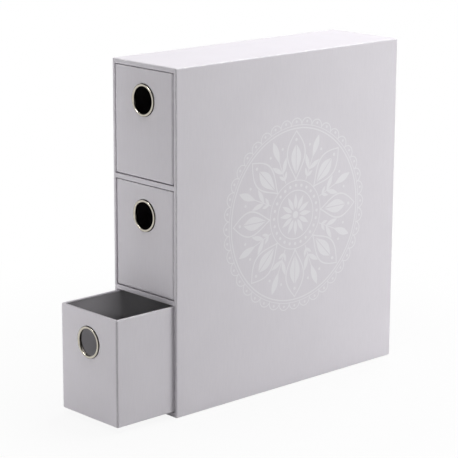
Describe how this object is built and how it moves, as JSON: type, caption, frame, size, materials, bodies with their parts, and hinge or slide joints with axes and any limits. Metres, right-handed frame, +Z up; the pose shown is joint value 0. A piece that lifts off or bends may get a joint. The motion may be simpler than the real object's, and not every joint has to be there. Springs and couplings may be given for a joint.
{
  "type": "trading card drawer box",
  "caption": "Tall narrow storage box of papered board with drawers stacked one above the other, each a lined tray for a row of sleeved trading cards with a metal finger ring.",
  "frame": {"origin": "on the floor, at the middle of the underside of the case", "axes": "+Z up, -Y the way the drawer fronts face and the drawers pull out, +X to the right seen from the front"},
  "size_m": [0.0858, 0.3498, 0.3169],
  "materials": {
    "cover_paper": "matt lilac-grey wrapping paper with a fine felt grain, with a paler ornament printed on the sides",
    "lining_paper": "matt charcoal lining paper",
    "greyboard": "raw grey bookbinder's board, covered with paper on every side",
    "ring_metal": "nickel plated, bright, with fine marks from fingers"
  },
  "bodies": {
    "case": {"left_panel": "greyboard", "right_panel": "greyboard", "top_panel": "greyboard", "bottom_panel": "greyboard", "back_panel": "greyboard", "upper_shelf": "greyboard", "lower_shelf": "greyboard", "outer_wrap": "cover_paper", "upper_shelf_edge_strip": "cover_paper", "lower_shelf_edge_strip": "cover_paper", "bottom_opening_lining": "lining_paper", "middle_opening_lining": "lining_paper", "top_opening_lining": "lining_paper", "case_base_sheet": "cover_paper", "case_back_sheet": "cover_paper"},
    "bottom_drawer": {"bottom_drawer_front_board": "greyboard", "bottom_drawer_back_board": "greyboard", "bottom_drawer_left_board": "greyboard", "bottom_drawer_right_board": "greyboard", "bottom_drawer_floor_board": "greyboard", "bottom_drawer_wrap": "cover_paper", "bottom_drawer_wall_lining": "lining_paper", "bottom_drawer_floor_lining": "lining_paper", "bottom_drawer_base_sheet": "cover_paper", "bottom_drawer_finger_ring": "ring_metal"},
    "middle_drawer": {"middle_drawer_front_board": "greyboard", "middle_drawer_back_board": "greyboard", "middle_drawer_left_board": "greyboard", "middle_drawer_right_board": "greyboard", "middle_drawer_floor_board": "greyboard", "middle_drawer_wrap": "cover_paper", "middle_drawer_wall_lining": "lining_paper", "middle_drawer_floor_lining": "lining_paper", "middle_drawer_base_sheet": "cover_paper", "middle_drawer_finger_ring": "ring_metal"},
    "top_drawer": {"top_drawer_front_board": "greyboard", "top_drawer_back_board": "greyboard", "top_drawer_left_board": "greyboard", "top_drawer_right_board": "greyboard", "top_drawer_floor_board": "greyboard", "top_drawer_wrap": "cover_paper", "top_drawer_wall_lining": "lining_paper", "top_drawer_floor_lining": "lining_paper", "top_drawer_base_sheet": "cover_paper", "top_drawer_finger_ring": "ring_metal"}
  },
  "joints": [
    {"name": "bottom_drawer_slide", "type": "slide", "parent": "case", "child": "bottom_drawer", "axis": [0, -1, 0], "range_m": [-0.0655, 0.2135]},
    {"name": "middle_drawer_slide", "type": "slide", "parent": "case", "child": "middle_drawer", "axis": [0, -1, 0], "range_m": [0, 0.279]},
    {"name": "top_drawer_slide", "type": "slide", "parent": "case", "child": "top_drawer", "axis": [0, -1, 0], "range_m": [0, 0.279]}
  ]
}
